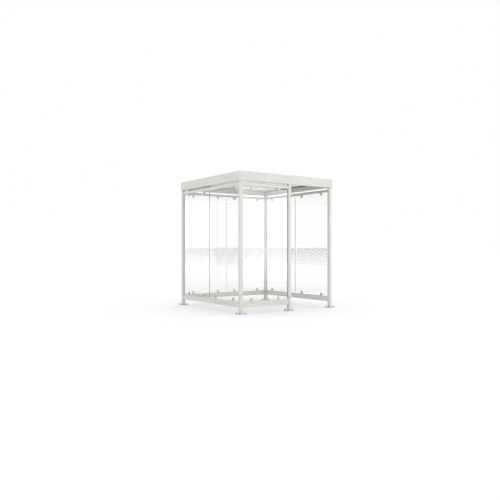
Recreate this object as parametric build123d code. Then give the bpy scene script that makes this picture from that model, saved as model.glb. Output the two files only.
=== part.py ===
"""Glazed canopy shelter.

Five square tube posts on base plates carry a mitred box-section roof edge, inside which a
ribbed metal sheet is laid. Clear glass panes stand between a deep lower rail and a slim upper
rail, held by pairs of half-round clamps with rubber pads. The right half of the front is open.
Millimetres, +Z up, +Y to the back, origin on the ground at the middle of the plan.
"""
import os

from build123d import *

# Overall sizes, over the roof edge
plan_width = 2000.0
plan_depth = 2000.0
total_height = 2310.0

# Roof edge beam, a box section mitred at the corners
beam_height = 150.0
beam_wall = 3.0
beam_corner = 2.0
beam_overhang = 7.0

# Posts, square tube
post_size = 55.0
post_wall = 3.0
post_corner = 2.0

# Base plates and their anchor holes
plate_size = 140.0
plate_thickness = 10.0
plate_corner = 5.0
anchor_spacing = 95.0
anchor_hole = 18.0

# Rails, rectangular tube
rail_depth = 40.0
rail_wall = 3.0
rail_corner = 2.0
lower_rail_clearance = 115.0
lower_rail_height = 90.0
upper_rail_height = 45.0
upper_rail_gap = 33.0

# Glass panes
glass_thickness = 8.0
glass_arris = 1.0
glass_edge_gap = 8.0
bays_per_wall = 2

# Glass clamps, half-round at the end that holds the glass
clamp_width = 45.0
clamp_height = 50.0
clamp_thickness = 28.0
clamp_chamfer = 1.5
clamp_slot_depth = 30.0
clamp_inset = 184.0
pad_thickness = 2.0
pad_setback = 8.0

# Ribbed roof sheet and the angles that carry it
sheet_drop = 55.0
sheet_thickness = 1.0
rib_pitch = 235.0
rib_height = 35.0
rib_foot = 80.0
rib_crown = 36.0
ledge_leg = 40.0
ledge_thickness = 4.0

# Room left where a piece is dropped in between others
fit_gap = 0.3
cut_overrun = 5.0

# Levels
beam_bottom = total_height - beam_height
lower_rail_top = lower_rail_clearance + lower_rail_height
upper_rail_top = beam_bottom - upper_rail_gap
upper_rail_bottom = upper_rail_top - upper_rail_height
sheet_level = total_height - sheet_drop

# Plan lines
beam_width = beam_overhang + post_size
post_line_x = plan_width / 2 - beam_overhang - post_size / 2
post_line_y = plan_depth / 2 - beam_overhang - post_size / 2
clear_width = 2 * post_line_x - post_size
clear_depth = 2 * post_line_y - post_size
front_bay = clear_width / bays_per_wall
door_post_x = front_bay - clear_width / 2 + post_size / 2
roof_width = plan_width - 2 * beam_width
roof_depth = plan_depth - 2 * beam_width

# Glass seat inside a clamp
slot_width = glass_thickness + 2 * pad_thickness
glass_rise = clamp_height - clamp_slot_depth + pad_thickness


def tube(width, depth, length, wall, corner):
    """A closed-section tube standing on the ground, its outer corners broken."""
    section = chamfer(Rectangle(width, depth).vertices(), corner)
    section -= Rectangle(width - 2 * wall, depth - 2 * wall)
    return extrude(section, length)


def post():
    """A square post from the top of its base plate to the roof edge."""
    length = beam_bottom - plate_thickness
    return Pos(0, 0, plate_thickness) * tube(post_size, post_size, length, post_wall, post_corner)


def base_plate():
    """A square foot with clipped corners and four anchor holes, welded under a post."""
    outline = chamfer(Rectangle(plate_size, plate_size).vertices(), plate_corner)
    holes = GridLocations(anchor_spacing, anchor_spacing, 2, 2) * Circle(anchor_hole / 2)
    return extrude(outline - holes, plate_thickness)


def rail(length, height, bottom):
    """A rail along X, butted between two posts, with its underside at the given level."""
    section = tube(height, rail_depth, length, rail_wall, rail_corner)
    return Pos(-length / 2, 0, bottom + height / 2) * Rot(0, 90, 0) * section


def pane(bay):
    """One glass pane in the middle of a bay, seated in its clamps, its edges ground."""
    bottom = lower_rail_top + glass_rise
    top = upper_rail_bottom - glass_rise
    width = bay - 2 * glass_edge_gap
    sheet = Box(width, glass_thickness, top - bottom)
    return Pos(0, 0, (bottom + top) / 2) * chamfer(sheet.edges(), glass_arris)


def clamp_outline():
    """The half-round outline of a clamp, standing on the rail."""
    radius = clamp_width / 2
    straight = clamp_height - radius
    body = Pos(0, straight / 2) * Rectangle(clamp_width, straight)
    return body + Pos(0, straight) * Circle(radius)


def clamp_slot():
    """The space for glass and pads, open at the rounded end."""
    length = clamp_slot_depth + cut_overrun
    middle = clamp_height - clamp_slot_depth + length / 2
    return Pos(0, 0, middle) * Box(clamp_width + cut_overrun, slot_width, length)


def clamp():
    """A clamp body with softened rims and a slot for the glass."""
    body = extrude(Plane.XZ * clamp_outline(), clamp_thickness / 2, both=True)
    rims = body.faces().filter_by(Axis.Y).edges()
    return chamfer(rims, clamp_chamfer) - clamp_slot()


def clamp_pad():
    """The rubber lining of a clamp, a U round the edge of the glass, short of the clamp's rim."""
    width = clamp_width - 2 * pad_setback
    height = clamp_slot_depth - pad_setback
    lining = Pos(0, 0, clamp_height - clamp_slot_depth + height / 2) * Box(width, slot_width, height)
    glass = Pos(0, 0, glass_rise + height / 2) * Box(width, glass_thickness, height)
    return lining - glass


def clamp_places(bay):
    """Where a bay's two clamps stand along its rail."""
    reach = bay / 2 - glass_edge_gap - clamp_inset
    return [Pos(-reach, 0, 0), Pos(reach, 0, 0)]


def roof_beam(length):
    """A box-section roof edge along X, its outer face on y = 0, mitred at both ends."""
    half = length / 2
    mitred_plan = Polygon((-half, 0), (half, 0), (half - beam_width, beam_width),
                          (beam_width - half, beam_width), align=None)
    section = tube(beam_height, beam_width, length, beam_wall, beam_corner)
    box = Pos(-half, beam_width / 2, beam_height / 2) * Rot(0, 90, 0) * section
    return Pos(0, 0, beam_bottom) * (box & extrude(mitred_plan, beam_height))


def sheet_ledge():
    """A steel angle along X on a beam's inner face, its back on y = 0, top leg under the sheet."""
    leg = Pos(0, ledge_leg / 2, -ledge_thickness / 2) * Box(
        roof_width - 2 * fit_gap, ledge_leg, ledge_thickness)
    back = Pos(0, ledge_thickness / 2, -ledge_leg / 2) * Box(
        roof_width - 2 * fit_gap, ledge_thickness, ledge_leg)
    return Pos(0, 0, sheet_level) * (leg + back)


def roof_sheet():
    """The ribbed sheet, ribs running from front to back."""
    half = roof_width / 2 - fit_gap
    ribs_each_side = int((half - rib_foot / 2) // rib_pitch)
    under = [(-half, 0)]
    for number in range(-ribs_each_side, ribs_each_side + 1):
        middle = number * rib_pitch
        under += [(middle - rib_foot / 2, 0), (middle - rib_crown / 2, rib_height),
                  (middle + rib_crown / 2, rib_height), (middle + rib_foot / 2, 0)]
    under.append((half, 0))
    over = [(x, z + sheet_thickness) for x, z in reversed(under)]
    profile = Plane.XZ * Polygon(*under, *over, align=None)
    return Pos(0, 0, sheet_level) * extrude(profile, roof_depth / 2 - fit_gap, both=True)


def write(node, *solids):
    """Write one node's solids to its own file."""
    shape = solids[0] if len(solids) == 1 else Compound(children=list(solids))
    export_step(shape, f"parts/{node}.step")


os.makedirs("parts", exist_ok=True)

# Posts on their base plates
post_places = {
    "front_left": Pos(-post_line_x, -post_line_y, 0),
    "front_right": Pos(post_line_x, -post_line_y, 0),
    "back_left": Pos(-post_line_x, post_line_y, 0),
    "back_right": Pos(post_line_x, post_line_y, 0),
    "door": Pos(door_post_x, -post_line_y, 0),
}
for name, place in post_places.items():
    write(f"{name}_post", place * post())
    write(f"{name}_base_plate", place * base_plate())

# Walls: place of the wall's middle, its clear length, and the names of its panes in order along X
walls = {
    "front": (Pos((front_bay - clear_width) / 2, -post_line_y, 0), front_bay, ["front_glass"]),
    "back": (Pos(0, post_line_y, 0), clear_width, ["back_left_glass", "back_right_glass"]),
    "left": (Pos(-post_line_x, 0, 0) * Rot(0, 0, 90), clear_depth,
             ["left_front_glass", "left_back_glass"]),
    "right": (Pos(post_line_x, 0, 0) * Rot(0, 0, 90), clear_depth,
              ["right_front_glass", "right_back_glass"]),
}
for name, (place, length, panes) in walls.items():
    write(f"{name}_lower_rail", place * rail(length, lower_rail_height, lower_rail_clearance))
    write(f"{name}_upper_rail", place * rail(length, upper_rail_height, upper_rail_bottom))
    bay = length / len(panes)
    bay_places = [place * Pos((number + 1 / 2) * bay - length / 2, 0, 0) for number in range(len(panes))]
    for node, bay_place in zip(panes, bay_places):
        write(node, bay_place * pane(bay))
    on_rail = Pos(0, 0, lower_rail_top)
    under_rail = Pos(0, 0, upper_rail_bottom) * Rot(180, 0, 0)
    stands = [bay_place * spot for bay_place in bay_places for spot in clamp_places(bay)]
    write(f"{name}_lower_clamps", *[stand * on_rail * clamp() for stand in stands])
    write(f"{name}_upper_clamps", *[stand * under_rail * clamp() for stand in stands])
    write(f"{name}_clamp_pads", *[stand * level * clamp_pad() for stand in stands
                                  for level in (on_rail, under_rail)])

# Roof edge, sheet and ledges
write("front_roof_beam", Pos(0, -plan_depth / 2, 0) * roof_beam(plan_width))
write("back_roof_beam", Pos(0, plan_depth / 2, 0) * Rot(0, 0, 180) * roof_beam(plan_width))
write("left_roof_beam", Pos(-plan_width / 2, 0, 0) * Rot(0, 0, -90) * roof_beam(plan_depth))
write("right_roof_beam", Pos(plan_width / 2, 0, 0) * Rot(0, 0, 90) * roof_beam(plan_depth))
write("front_sheet_ledge", Pos(0, -roof_depth / 2, 0) * sheet_ledge())
write("back_sheet_ledge", Pos(0, roof_depth / 2, 0) * Rot(0, 0, 180) * sheet_ledge())
write("roof_sheet", roof_sheet())
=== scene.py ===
import math

import bmesh
import bpy
from mathutils import Matrix, Vector


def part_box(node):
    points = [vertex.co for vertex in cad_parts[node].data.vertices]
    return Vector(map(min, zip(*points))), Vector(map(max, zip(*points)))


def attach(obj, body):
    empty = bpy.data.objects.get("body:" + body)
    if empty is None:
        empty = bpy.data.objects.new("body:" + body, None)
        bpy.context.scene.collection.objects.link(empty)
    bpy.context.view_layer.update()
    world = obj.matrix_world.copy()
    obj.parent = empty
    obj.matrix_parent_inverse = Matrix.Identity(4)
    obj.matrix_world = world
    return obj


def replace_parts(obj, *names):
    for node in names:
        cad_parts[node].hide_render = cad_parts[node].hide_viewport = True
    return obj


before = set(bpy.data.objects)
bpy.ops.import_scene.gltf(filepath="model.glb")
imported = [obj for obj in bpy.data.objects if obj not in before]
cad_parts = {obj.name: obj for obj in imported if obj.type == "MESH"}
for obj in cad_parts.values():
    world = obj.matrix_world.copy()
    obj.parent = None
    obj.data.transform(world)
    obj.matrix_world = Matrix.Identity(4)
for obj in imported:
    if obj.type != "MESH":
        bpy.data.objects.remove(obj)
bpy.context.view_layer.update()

# Base plates
# Square feet sawn from 10 mm steel plate, drilled for four anchors and welded under the posts.
# They are powder coated in a light grey, paler than the frame, with a satin gloss.
plate_dark = (0.815, 0.815, 0.797)
plate_light = (0.850, 0.850, 0.832)
spots_low = 0.3
spots_high = 0.7
spots_detail = 2.0


def new_finish(name):
    """An empty finish, with its node tree and its surface shader."""
    finish = bpy.data.materials.new(name)
    finish.use_nodes = True
    tree = finish.node_tree
    return finish, tree, tree.nodes["Principled BSDF"]


def speckle(tree, size, drawn_out=(1.0, 1.0, 1.0)):
    """Noise over the shelter, its spots about the given size, drawn out along the axes."""
    place = tree.nodes.new("ShaderNodeTexCoord")
    fit = tree.nodes.new("ShaderNodeMapping")
    fit.inputs["Scale"].default_value = [1 / (size * share) for share in drawn_out]
    noise = tree.nodes.new("ShaderNodeTexNoise")
    noise.inputs["Scale"].default_value = 1.0
    noise.inputs["Detail"].default_value = spots_detail
    tree.links.new(place.outputs["Object"], fit.inputs["Vector"])
    tree.links.new(fit.outputs["Vector"], noise.inputs["Vector"])
    return noise.outputs["Fac"]


def shade_between(tree, spots, dark, light, target):
    """Colour that wanders between a dark and a light tone with the spots."""
    ramp = tree.nodes.new("ShaderNodeValToRGB")
    ends = ramp.color_ramp.elements
    for end, position, tone in zip(ends, (spots_low, spots_high), (dark, light)):
        end.position = position
        end.color = (*tone, 1.0)
    tree.links.new(spots, ramp.inputs["Fac"])
    tree.links.new(ramp.outputs["Color"], target)


def vary_between(tree, spots, low, high, target):
    """A number that wanders between two values with the spots."""
    spread = tree.nodes.new("ShaderNodeMapRange")
    spread.inputs["From Min"].default_value = spots_low
    spread.inputs["From Max"].default_value = spots_high
    spread.inputs["To Min"].default_value = low
    spread.inputs["To Max"].default_value = high
    tree.links.new(spots, spread.inputs["Value"])
    tree.links.new(spread.outputs["Result"], target)


def relief(tree, spots, depth, shader):
    """A fine relief of the given depth on a shader."""
    bump = tree.nodes.new("ShaderNodeBump")
    bump.inputs["Strength"].default_value = 1.0
    bump.inputs["Distance"].default_value = depth
    tree.links.new(spots, bump.inputs["Height"])
    tree.links.new(bump.outputs["Normal"], shader.inputs["Normal"])


def surface(name, dark, light, cloud, rough, gloss, grain, depth, metal=0.0, drawn_out=(1.0, 1.0, 1.0)):
    """A finish with clouds of tone, spots of gloss and a fine grain, each of its own size."""
    finish, tree, shader = new_finish(name)
    shader.inputs["Metallic"].default_value = metal
    shade_between(tree, speckle(tree, cloud, drawn_out), dark, light, shader.inputs["Base Color"])
    vary_between(tree, speckle(tree, gloss), *rough, shader.inputs["Roughness"])
    relief(tree, speckle(tree, grain), depth, shader)
    return finish


def powder_coat(name, dark, light):
    """Fired powder coat: a faintly cloudy colour, satin gloss and a fine orange peel."""
    return surface(name, dark, light, cloud=0.35, rough=(0.40, 0.52), gloss=0.03, grain=0.0022, depth=0.00006)


def dress(finish, *nodes):
    """Give a finish to pieces of the frame."""
    for node in nodes:
        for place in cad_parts[node].material_slots:
            place.material = finish


post_names = ["front_left", "front_right", "back_left", "back_right", "door"]
plate_coat = powder_coat("plate_powder_coat", plate_dark, plate_light)
dress(plate_coat, *[f"{name}_base_plate" for name in post_names])

# Anchors
# A threaded M16 stud in each of the four holes of a base plate, with a washer and a hexagon nut.
# Plain dulled steel, tightened down on the plate, the stud standing a little proud of the nut.
anchor_spacing = 0.095
washer_radius = 0.015
washer_thickness = 0.003
nut_across_flats = 0.024
nut_height = 0.013
nut_chamfer = 0.0016
nut_sides = 6
stud_radius = 0.008
stud_rise = 0.008
thread_pitch = 0.002
thread_depth = 0.0011
anchor_sides = 20
anchor_dark = (0.43, 0.43, 0.432)
anchor_light = (0.53, 0.528, 0.524)
crease_angle = math.radians(32)


def turned(bm, sides, steps):
    """Rings of equal sides, given as radius and height, skinned into one closed form."""
    rings = []
    for radius, height in steps:
        level = Matrix.Translation((0, 0, height))
        corners = bmesh.ops.create_circle(bm, segments=sides, radius=radius, matrix=level)["verts"]
        rings.append(list({edge for corner in corners for edge in corner.link_edges}))
    for lower, upper in zip(rings, rings[1:]):
        bmesh.ops.bridge_loops(bm, edges=lower + upper)
    bmesh.ops.holes_fill(bm, edges=rings[0] + rings[-1], sides=sides)


def repeat(bm, places):
    """Copy what is in a bmesh to each of the places, leaving nothing at the first one."""
    first = bm.verts[:] + bm.edges[:] + bm.faces[:]
    first_corners = bm.verts[:]
    for place in places:
        copied = bmesh.ops.duplicate(bm, geom=first)["geom"]
        corners = [part for part in copied if isinstance(part, bmesh.types.BMVert)]
        bmesh.ops.transform(bm, matrix=place, verts=corners)
    bmesh.ops.delete(bm, geom=first_corners, context="VERTS")


def piece(name, bm, slot, *finishes):
    """Make a named piece of a bmesh, smooth but for its sharp edges, fixed to the frame."""
    bmesh.ops.recalc_face_normals(bm, faces=bm.faces)
    for edge in bm.edges:
        edge.smooth = edge.calc_face_angle(math.pi) < crease_angle
    for face in bm.faces:
        face.smooth = True
    mesh = bpy.data.meshes.new(name)
    bm.to_mesh(mesh)
    bm.free()
    for finish in finishes:
        mesh.materials.append(finish)
    made = bpy.data.objects.new(name, mesh)
    bpy.context.scene.collection.objects.link(made)
    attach(made, "root")
    return made


def anchor(level):
    """One stud with its washer and nut, tightened down at the given level."""
    bm = bmesh.new()
    nut_bottom = level + washer_thickness
    nut_top = nut_bottom + nut_height
    stud_top = nut_top + stud_rise
    turned(bm, anchor_sides, [(washer_radius, level), (washer_radius, nut_bottom)])
    nut_radius = nut_across_flats / math.sqrt(3)
    shoulder = nut_radius - nut_chamfer
    edge_drop = nut_chamfer / 2
    turned(bm, nut_sides, [(shoulder, nut_bottom), (nut_radius, nut_bottom + edge_drop),
                           (nut_radius, nut_top - edge_drop), (shoulder, nut_top)])
    root = stud_radius - thread_depth
    threads = int(stud_rise / thread_pitch)
    steps = [(root, 0.0), (root, nut_top)]
    for number in range(threads):
        crest = stud_top - (threads - number - 1 / 2) * thread_pitch
        steps += [(stud_radius, crest), (root, crest + thread_pitch / 2)]
    turned(bm, anchor_sides, steps)
    return bm


anchor_steel = surface("anchor_dulled_steel", anchor_dark, anchor_light, cloud=0.006, rough=(0.42, 0.60),
                       gloss=0.004, grain=0.0008, depth=0.00004, metal=0.85)
for name in post_names:
    low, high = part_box(f"{name}_base_plate")
    middle = (low + high) / 2
    half = anchor_spacing / 2
    anchors = anchor(high.z)
    repeat(anchors, [Matrix.Translation((middle.x + x, middle.y + y, 0))
                     for x in (-half, half) for y in (-half, half)])
    piece(f"{name}_anchors", anchors, "clamp_metal", anchor_steel)

# Posts
# Square steel tube from the base plate to the roof edge, welded all round at the foot.
# The bead is a rippled fillet, and is coated with the post in a warm light grey.
coat_dark = (0.660, 0.652, 0.600)
coat_light = (0.690, 0.682, 0.629)
post_weld_leg = 0.006
tube_corner = 0.002
weld_crown_share = 0.63
weld_ripple = 0.0004
weld_ripple_pitch = 0.0048
weld_steps_per_ripple = 3
weld_step = weld_ripple_pitch / weld_steps_per_ripple
tube_points = 8

frame_coat = powder_coat("frame_powder_coat", coat_dark, coat_light)
dress(frame_coat, *[f"{name}_post" for name in post_names])


def weld_bead(width, depth, leg):
    """A rippled fillet round a tube of the given section that stands on z = 0."""
    bm = bmesh.new()
    half_step = Matrix.Rotation(math.pi / tube_points, 4, "Z")
    bmesh.ops.create_circle(bm, segments=tube_points, radius=1.0, matrix=half_step)
    for point in bm.verts:
        at_side = abs(point.co.x) > abs(point.co.y)
        point.co.x = math.copysign(width / 2 - (0 if at_side else tube_corner), point.co.x)
        point.co.y = math.copysign(depth / 2 - (tube_corner if at_side else 0), point.co.y)
    for edge in bm.edges[:]:
        cuts = int(edge.calc_length() / weld_step)
        if cuts:
            bmesh.ops.subdivide_edges(bm, edges=[edge], cuts=cuts)
    tube_line = bm.edges[:]
    ring = tube_line
    crown = leg * weld_crown_share
    reached = 0.0
    for reach, rise in [(leg, 0.0), (crown, crown), (0.0, leg)]:
        made = bmesh.ops.extrude_edge_only(bm, edges=ring)["geom"]
        points = [part for part in made if isinstance(part, bmesh.types.BMVert)]
        ring = [part for part in made if isinstance(part, bmesh.types.BMEdge) and part.is_boundary]
        growth = [(side + 2 * reach) / (side + 2 * reached) for side in (width, depth)]
        bmesh.ops.scale(bm, vec=(*growth, 1.0), verts=points)
        height = weld_ripple if reach == crown else 0.0
        for point in points:
            wave = math.cos(2 * math.pi * (point.co.x + point.co.y) / weld_ripple_pitch)
            point.co.z = rise + height * wave
        reached = reach
    bmesh.ops.bridge_loops(bm, edges=tube_line + ring)
    return bm


for name in post_names:
    low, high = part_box(f"{name}_post")
    bead = weld_bead(high.x - low.x, high.y - low.y, post_weld_leg)
    repeat(bead, [Matrix.Translation(((low.x + high.x) / 2, (low.y + high.y) / 2, low.z))])
    piece(f"{name}_foot_weld", bead, "frame_paint", frame_coat)

# Rails
# Rectangular steel tube butted between the posts, deep at the foot and slim at the head.
# They are welded to the posts all round and coated with them, so that the frame has one finish.
wall_names = ["front", "right", "back", "left"]
rail_weld_leg = 0.0045

for rail in [f"{wall}_{level}_rail" for wall in wall_names for level in ("lower", "upper")]:
    dress(frame_coat, rail)
    low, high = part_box(rail)
    size = high - low
    middle = (low + high) / 2
    run = Vector((1, 0, 0)) if size.x > size.y else Vector((0, 1, 0))
    bead = weld_bead(min(size.x, size.y), size.z, rail_weld_leg)
    ends = [(middle - run * max(size.x, size.y) / 2 * side, run * side) for side in (1, -1)]
    repeat(bead, [Matrix.Translation(end) @ inward.to_track_quat("Z", "Y").to_matrix().to_4x4()
                  for end, inward in ends])
    piece(f"{rail}_welds", bead, "frame_paint", frame_coat)

# Glass panes
# Toughened clear float glass, 8 mm thick, with ground and polished edges. Each pane stands free
# between the rails in four clamps, so all its edges show. Its tint darkens towards the foot: painted shade.
pane_arris = 0.001
glass_tint = (0.991, 0.992, 0.990)
foot_shade_tint = (0.934, 0.926, 0.921)
foot_shade_top = 0.70
glass_refraction = 1.5
glass_wave_size = 0.30
glass_wave_depth = 0.00015
edge_dark = (0.165, 0.172, 0.169)
edge_light = (0.235, 0.242, 0.239)
inward_turn = {"front": 0, "right": 90, "back": 180, "left": 270}
pane_walls = {
    "front_glass": "front",
    "right_front_glass": "right",
    "right_back_glass": "right",
    "back_left_glass": "back",
    "back_right_glass": "back",
    "left_front_glass": "left",
    "left_back_glass": "left",
}

clear_glass, tree, glass = new_finish("clear_float_glass")
where = tree.nodes.new("ShaderNodeTexCoord")
height = tree.nodes.new("ShaderNodeSeparateXYZ")
# Painted shade: below a set height the glass tint darkens down to the pane's foot.
rise = tree.nodes.new("ShaderNodeMapRange")
rise.inputs["From Min"].default_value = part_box("front_glass")[0].z
rise.inputs["From Max"].default_value = foot_shade_top
rise.inputs["To Min"].default_value = spots_low
rise.inputs["To Max"].default_value = spots_high
tree.links.new(where.outputs["Object"], height.inputs["Vector"])
tree.links.new(height.outputs["Z"], rise.inputs["Value"])
shade_between(tree, rise.outputs["Result"], foot_shade_tint, glass_tint, glass.inputs["Base Color"])
glass.inputs["Roughness"].default_value = 0.0
glass.inputs["IOR"].default_value = glass_refraction
glass.inputs["Transmission Weight"].default_value = 1.0
relief(tree, speckle(tree, glass_wave_size), glass_wave_depth, glass)
# Light and shade pass straight through the glass, while the eye sees it refract.
passing = tree.nodes.new("ShaderNodeBsdfTransparent")
passing.inputs["Color"].default_value = (*glass_tint, 1.0)
ray = tree.nodes.new("ShaderNodeLightPath")
seen = glass.outputs["BSDF"]
for lighting_ray in ("Is Shadow Ray", "Is Diffuse Ray"):
    either = tree.nodes.new("ShaderNodeMixShader")
    tree.links.new(ray.outputs[lighting_ray], either.inputs["Fac"])
    tree.links.new(seen, either.inputs[1])
    tree.links.new(passing.outputs["BSDF"], either.inputs[2])
    seen = either.outputs["Shader"]
tree.links.new(seen, tree.nodes["Material Output"].inputs["Surface"])

polished_edge = surface("polished_glass_edge", edge_dark, edge_light, cloud=0.05, rough=(0.12, 0.28),
                        gloss=0.004, grain=0.003, depth=0.00003)


def pane_frame(node):
    """A pane's place, turned so that +Y points into the shelter, with its size along, across and up."""
    low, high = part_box(node)
    size = high - low
    turn = Matrix.Rotation(math.radians(inward_turn[pane_walls[node]]), 4, "Z")
    along, across = max(size.x, size.y), min(size.x, size.y)
    return Matrix.Translation((low + high) / 2) @ turn, Vector((along, across, size.z))


for node in pane_walls:
    place, size = pane_frame(node)
    sheet = bmesh.new()
    bmesh.ops.create_cube(sheet, size=1.0, matrix=Matrix.Diagonal((*size, 1.0)))
    bmesh.ops.bevel(sheet, geom=sheet.edges[:], offset=pane_arris, segments=1, profile=0.5,
                    affect="EDGES", material=-1)
    broad_sides = sorted(sheet.faces, key=lambda face: face.calc_area())[-2:]
    for face in sheet.faces:
        face.material_index = 0 if face in broad_sides else 1
    bmesh.ops.transform(sheet, matrix=place, verts=sheet.verts)
    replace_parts(piece(f"{node}_pane", sheet, "clear_glass", clear_glass, polished_edge), node)

# Dot band
# Rows of round white dots of film on the outer side of each pane, so that the glass is seen.
# The dots are large in the top row and dwindle from row to row; every second row is set off by half.
dot_rows = 10
dot_pitch = 0.064
dot_row_drop = 0.032
dot_band_top_row = 1.062
dot_largest = 0.0405
dot_smallest = 0.021
dot_film = 0.0003
dot_glue_line = 0.0001
dot_margin = 0.006
dot_sides = 16
print_dark = (0.776, 0.770, 0.770)
print_light = (0.826, 0.820, 0.820)

dot_print = surface("frosted_white_print", print_dark, print_light, cloud=0.02, rough=(0.50, 0.65),
                    gloss=0.005, grain=0.0015, depth=0.00002)
for node in pane_walls:
    place, size = pane_frame(node)
    reach = size.x / 2 - dot_margin - dot_largest / 2
    stand_off = size.y / 2 + dot_glue_line + dot_film / 2
    band = bmesh.new()
    for row in range(dot_rows):
        radius = (dot_largest + (dot_smallest - dot_largest) * row / (dot_rows - 1)) / 2
        height = dot_band_top_row - row * dot_row_drop - place.translation.z
        odd = row % 2
        shift = odd * dot_pitch / 2
        count = int((reach - shift) / dot_pitch)
        for number in range(-count - odd, count + 1):
            spot = Matrix.Translation((shift + number * dot_pitch, -stand_off, height))
            bmesh.ops.create_cone(band, cap_ends=True, segments=dot_sides, radius1=radius, radius2=radius,
                                  depth=dot_film, matrix=spot @ Matrix.Rotation(math.pi / 2, 4, "X"))
    bmesh.ops.transform(band, matrix=place, verts=band.verts)
    piece(f"{node}_dots", band, "clear_glass", dot_print)

# Glass clamps
# Half-round steel blocks with a satin grey finish, slotted for the glass and lined with rubber pads.
# Each is closed from the inside with two button-headed socket screws.
clamp_inset = 0.184
clamp_screw_spacing = 0.023
clamp_screw_rise = 0.0095
clamp_dark = (0.500, 0.500, 0.502)
clamp_light = (0.580, 0.580, 0.582)
rubber_dark = (0.014, 0.014, 0.015)
rubber_light = (0.028, 0.028, 0.029)
screw_dark = (0.42, 0.42, 0.41)
screw_light = (0.52, 0.52, 0.51)
screw_head_radius = 0.0050
screw_head_height = 0.0028
screw_head_shares = [(1.0, 0.0), (1.0, 0.25), (0.86, 0.72), (0.62, 1.0)]
screw_socket_radius = 0.0024
screw_socket_depth = 0.0018
screw_sides = 18

clamp_satin = surface("clamp_satin_metal", clamp_dark, clamp_light, cloud=0.015, rough=(0.36, 0.50),
                      gloss=0.006, grain=0.0007, depth=0.00003, metal=0.9)
pad_rubber = surface("pad_black_rubber", rubber_dark, rubber_light, cloud=0.01, rough=(0.70, 0.85),
                     gloss=0.003, grain=0.0006, depth=0.00005)
screw_steel = surface("screw_stainless_steel", screw_dark, screw_light, cloud=0.004, rough=(0.25, 0.38),
                      gloss=0.002, grain=0.0006, depth=0.00002, metal=1.0)


def socket_screw():
    """A button head with a hexagon socket, its seat on z = 0."""
    bm = bmesh.new()
    socket_floor = screw_head_height - screw_socket_depth
    steps = [(screw_head_radius * out, screw_head_height * up) for out, up in screw_head_shares]
    steps += [(screw_socket_radius, screw_head_height), (screw_socket_radius, socket_floor)]
    turned(bm, screw_sides, steps)
    sixth = math.pi / 3
    for corner in bm.verts:
        if corner.co.xy.length < screw_socket_radius * (1 + 1 / screw_sides):
            off_flat = math.atan2(corner.co.y, corner.co.x) % sixth - sixth / 2
            corner.co.xy *= math.cos(sixth / 2) / math.cos(off_flat)
    return bm


for wall in wall_names:
    dress(clamp_satin, f"{wall}_lower_clamps", f"{wall}_upper_clamps")
    dress(pad_rubber, f"{wall}_clamp_pads")
    rail_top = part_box(f"{wall}_lower_rail")[1].z
    rail_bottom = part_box(f"{wall}_upper_rail")[0].z
    low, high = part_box(f"{wall}_lower_clamps")
    clamp_depth = min(high.x - low.x, high.y - low.y)
    seats = []
    for node in [node for node in pane_walls if pane_walls[node] == wall]:
        place, size = pane_frame(node)
        for stand in (clamp_inset - size.x / 2, size.x / 2 - clamp_inset):
            for across in (-clamp_screw_spacing / 2, clamp_screw_spacing / 2):
                for level in (rail_top + clamp_screw_rise, rail_bottom - clamp_screw_rise):
                    seat = Vector((stand + across, clamp_depth / 2, level - place.translation.z))
                    facing = Matrix.Rotation(-math.pi / 2, 4, "X")
                    seats.append(place @ Matrix.Translation(seat) @ facing)
    screws = socket_screw()
    repeat(screws, seats)
    piece(f"{wall}_clamp_screws", screws, "clamp_metal", screw_steel)

# Roof edge
# Four deep box-section beams mitred at the corners, which hide the flat roof behind them.
# Welded, ground flush and powder coated like the frame.
edge_coat = powder_coat("roof_edge_powder_coat", coat_dark, coat_light)
dress(edge_coat, *[f"{wall}_roof_beam" for wall in wall_names])

# Roof sheet, ledges and shade strips
# Trapezoid-ribbed steel sheet, coil coated off-white, screwed down on rubber washers to two steel
# angles. A black strip under each long edge at the side beam is painted shade: a dark line from below.
sheet_dark = (0.825, 0.820, 0.775)
sheet_light = (0.870, 0.865, 0.820)
sheet_thickness = 0.001
rib_pitch = 0.235
rib_foot = 0.080
roof_screw_inset = 0.022
roof_washer_radius = 0.008
roof_washer_thickness = 0.0022
roof_washer_top_share = 0.94
roof_flange_radius = 0.0062
roof_flange_thickness = 0.0012
roof_flange_top_share = 0.9
roof_head_radius = 0.0046
roof_head_height = 0.005
roof_head_top_share = 0.85
shade_strip_width = 0.010
shade_strip_height = 0.013
shade_strip_round = 0.003
shade_strip_round_steps = 3
shade_strip_gap = 0.0002

coil_coat = surface("sheet_coil_coat", sheet_dark, sheet_light, cloud=0.02, rough=(0.36, 0.48),
                    gloss=0.05, grain=0.003, depth=0.00004, drawn_out=(1.0, 14.0, 1.0))
dress(coil_coat, "roof_sheet")
ledge_coat = powder_coat("ledge_powder_coat", coat_dark, coat_light)
dress(ledge_coat, "front_sheet_ledge", "back_sheet_ledge")


def roof_screw():
    """A hexagon head with its flange on a rubber washer, its seat on z = 0."""
    bm = bmesh.new()
    washer_top = roof_washer_thickness
    flange_top = washer_top + roof_flange_thickness
    turned(bm, screw_sides, [(roof_washer_radius, 0.0),
                             (roof_washer_radius * roof_washer_top_share, washer_top)])
    for face in bm.faces:
        face.material_index = 1
    turned(bm, screw_sides, [(roof_flange_radius, washer_top),
                             (roof_flange_radius * roof_flange_top_share, flange_top)])
    turned(bm, nut_sides, [(roof_head_radius, flange_top),
                           (roof_head_radius, flange_top + roof_head_height * roof_head_top_share),
                           (roof_head_radius * roof_head_top_share, flange_top + roof_head_height)])
    return bm


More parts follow.
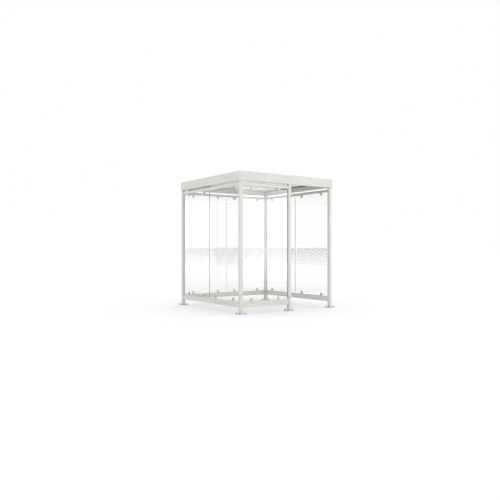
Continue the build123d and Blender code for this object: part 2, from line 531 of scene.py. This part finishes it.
sheet_low, sheet_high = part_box("roof_sheet")
ribs_each_side = int((sheet_high.x - rib_foot / 2) / rib_pitch)
margin_flat = (ribs_each_side * rib_pitch + rib_foot / 2 + sheet_high.x) / 2
flats = [(number + 1 / 2) * rib_pitch for number in range(-ribs_each_side, ribs_each_side)]
flats += [-margin_flat, margin_flat]
screw_lines = (sheet_low.y + roof_screw_inset, sheet_high.y - roof_screw_inset)
screws = roof_screw()
seat_level = sheet_low.z + sheet_thickness
repeat(screws, [Matrix.Translation((x, y, seat_level)) for x in flats for y in screw_lines])
piece("roof_screws", screws, "coated_sheet", coil_coat, pad_rubber)

# Painted shade: black strips under the sheet's long edges give the dark line where sheet and beam meet.
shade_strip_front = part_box("front_sheet_ledge")[1].y + shade_strip_gap
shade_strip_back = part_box("back_sheet_ledge")[0].y - shade_strip_gap
shade_strips = bmesh.new()
bmesh.ops.create_cube(shade_strips, size=1.0, matrix=Matrix.Diagonal(
    (shade_strip_width, shade_strip_back - shade_strip_front, shade_strip_height, 1.0)))
bmesh.ops.bevel(shade_strips, geom=shade_strips.edges[:], offset=shade_strip_round, segments=shade_strip_round_steps, profile=0.5,
                affect="EDGES", material=-1)
shade_strip_x = sheet_high.x - shade_strip_width / 2
shade_strip_z = sheet_low.z - shade_strip_gap - shade_strip_height / 2
repeat(shade_strips, [Matrix.Translation((x, (shade_strip_front + shade_strip_back) / 2, shade_strip_z)) for x in (-shade_strip_x, shade_strip_x)])
piece("sheet_edge_shade_strips", shade_strips, "pad_rubber", pad_rubber)

# Studio
# A white floor under a soft white sky, with a broad sun overhead and a softbox at the front right.
# Seen directly, floor and sky are white but for the shadow; rays that only light find other levels.
sky_colour = (0.975, 0.985, 1.0)
sky_level = 0.85
sun_colour = (1.0, 0.985, 0.955)
sun_level = 0.63
sun_spread = math.radians(60)
sun_from = Vector((0.04, 0.0, 1.0))
softbox_size = (2.0, 3.0)
softbox_glow = 4.8
softbox_foot_share = 0.6
softbox_full_share = 0.55
softbox_place = Vector((4.5, -7.7, 1.58))
softbox_aim = Vector((-0.5, -1.0, 1.58))
floor_radius = 80.0
floor_sides = 96
floor_drop = 0.0005
floor_bounce = (0.95, 0.95, 0.95)
floor_glow = (0.16, 0.16, 0.16)
floor_shaded = (0.580, 0.595, 0.605)
floor_plain = (0.412, 0.409, 0.407)

scene = bpy.context.scene
scene.view_settings.view_transform = "Standard"
# Light bounces once between dull surfaces, which keeps the shade under the roof.
scene.cycles.diffuse_bounces = 1
# Only the picture itself guides the denoiser: its other passes smooth away the fine dots.
scene.cycles.denoising_input_passes = "RGB"


def seen_directly(tree):
    """One for rays from the eye, from a mirror or through glass, nought for rays that only light."""
    ray = tree.nodes.new("ShaderNodeLightPath")
    total = ray.outputs["Is Camera Ray"]
    for kind in ("Is Glossy Ray", "Is Transmission Ray"):
        larger = tree.nodes.new("ShaderNodeMath")
        larger.operation = "MAXIMUM"
        tree.links.new(total, larger.inputs[0])
        tree.links.new(ray.outputs[kind], larger.inputs[1])
        total = larger.outputs[0]
    return total


sky = bpy.data.worlds.new("studio_sky")
scene.world = sky
sky.use_nodes = True
tree = sky.node_tree
lighting = tree.nodes["Background"]
lighting.inputs["Color"].default_value = (*sky_colour, 1.0)
lighting.inputs["Strength"].default_value = sky_level
shown = tree.nodes.new("ShaderNodeBackground")
shown.inputs["Color"].default_value = (1.0, 1.0, 1.0, 1.0)
shown.inputs["Strength"].default_value = 1.0
either = tree.nodes.new("ShaderNodeMixShader")
tree.links.new(seen_directly(tree), either.inputs["Fac"])
tree.links.new(lighting.outputs["Background"], either.inputs[1])
tree.links.new(shown.outputs["Background"], either.inputs[2])
tree.links.new(either.outputs["Shader"], tree.nodes["World Output"].inputs["Surface"])

sun_lamp = bpy.data.lights.new("studio_sun", "SUN")
sun_lamp.energy = sun_level
sun_lamp.angle = sun_spread
sun_lamp.color = sun_colour
sun = bpy.data.objects.new("studio_sun", sun_lamp)
sun.rotation_euler = sun_from.to_track_quat("Z", "Y").to_euler()
scene.collection.objects.link(sun)

softbox_lamp = bpy.data.lights.new("studio_softbox", "AREA")
softbox_lamp.shape = "RECTANGLE"
softbox_lamp.size, softbox_lamp.size_y = softbox_size
# The lamp's power grows with its face, so that its glow is the same at any size.
softbox_lamp.energy = math.pi * softbox_lamp.size * softbox_lamp.size_y
softbox_lamp.use_nodes = True
tree = softbox_lamp.node_tree
across = tree.nodes.new("ShaderNodeNewGeometry")
height = tree.nodes.new("ShaderNodeSeparateXYZ")
fade = tree.nodes.new("ShaderNodeMapRange")
fade.inputs["From Min"].default_value = 0.0
fade.inputs["From Max"].default_value = softbox_full_share
fade.inputs["To Min"].default_value = softbox_glow * softbox_foot_share
fade.inputs["To Max"].default_value = softbox_glow
tree.links.new(across.outputs["Parametric"], height.inputs["Vector"])
tree.links.new(height.outputs["Y"], fade.inputs["Value"])
tree.links.new(fade.outputs["Result"], tree.nodes["Emission"].inputs["Strength"])
softbox = bpy.data.objects.new("studio_softbox", softbox_lamp)
softbox.location = softbox_place
softbox.rotation_euler = (softbox_place - softbox_aim).to_track_quat("Z", "Y").to_euler()
# It lights the shelter and shines in gloss, but isn't seen itself, nor through glass.
softbox.visible_camera = False
softbox.visible_transmission = False
scene.collection.objects.link(softbox)

floor_white, tree, unused_shader = new_finish("studio_floor_white")
tree.nodes.remove(unused_shader)
either = tree.nodes.new("ShaderNodeMixShader")
tree.links.new(seen_directly(tree), either.inputs["Fac"])
for target, paint, glow in [(either.inputs[1], floor_bounce, floor_glow),
                            (either.inputs[2], floor_shaded, floor_plain)]:
    shaded = tree.nodes.new("ShaderNodeBsdfDiffuse")
    shaded.inputs["Color"].default_value = (*paint, 1.0)
    plain = tree.nodes.new("ShaderNodeEmission")
    plain.inputs["Color"].default_value = (*glow, 1.0)
    both = tree.nodes.new("ShaderNodeAddShader")
    tree.links.new(shaded.outputs["BSDF"], both.inputs[0])
    tree.links.new(plain.outputs["Emission"], both.inputs[1])
    tree.links.new(both.outputs["Shader"], target)
tree.links.new(either.outputs["Shader"], tree.nodes["Material Output"].inputs["Surface"])

ground = bmesh.new()
bmesh.ops.create_circle(ground, cap_ends=True, segments=floor_sides, radius=floor_radius,
                        matrix=Matrix.Translation((0, 0, -floor_drop)))
floor_mesh = bpy.data.meshes.new("studio_floor")
ground.to_mesh(floor_mesh)
ground.free()
floor_mesh.materials.append(floor_white)
floor = bpy.data.objects.new("studio_floor", floor_mesh)
scene.collection.objects.link(floor)

# Camera
# Level, off the front left corner, at the height of the upper rows of the dot band.
# Its place, turn and lens come from a fit to the shelter's edges.
camera_place = (-5.992, -8.419, 1.038)
camera_turn = math.radians(-34.95)
camera_lens = 40.34
camera_sensor = 36.0
lens = bpy.data.cameras.new("camera")
lens.sensor_width = camera_sensor
lens.lens = camera_lens
camera = bpy.data.objects.new("camera", lens)
camera.location = camera_place
camera.rotation_euler = (math.pi / 2, 0.0, camera_turn)
scene.collection.objects.link(camera)
scene.camera = camera
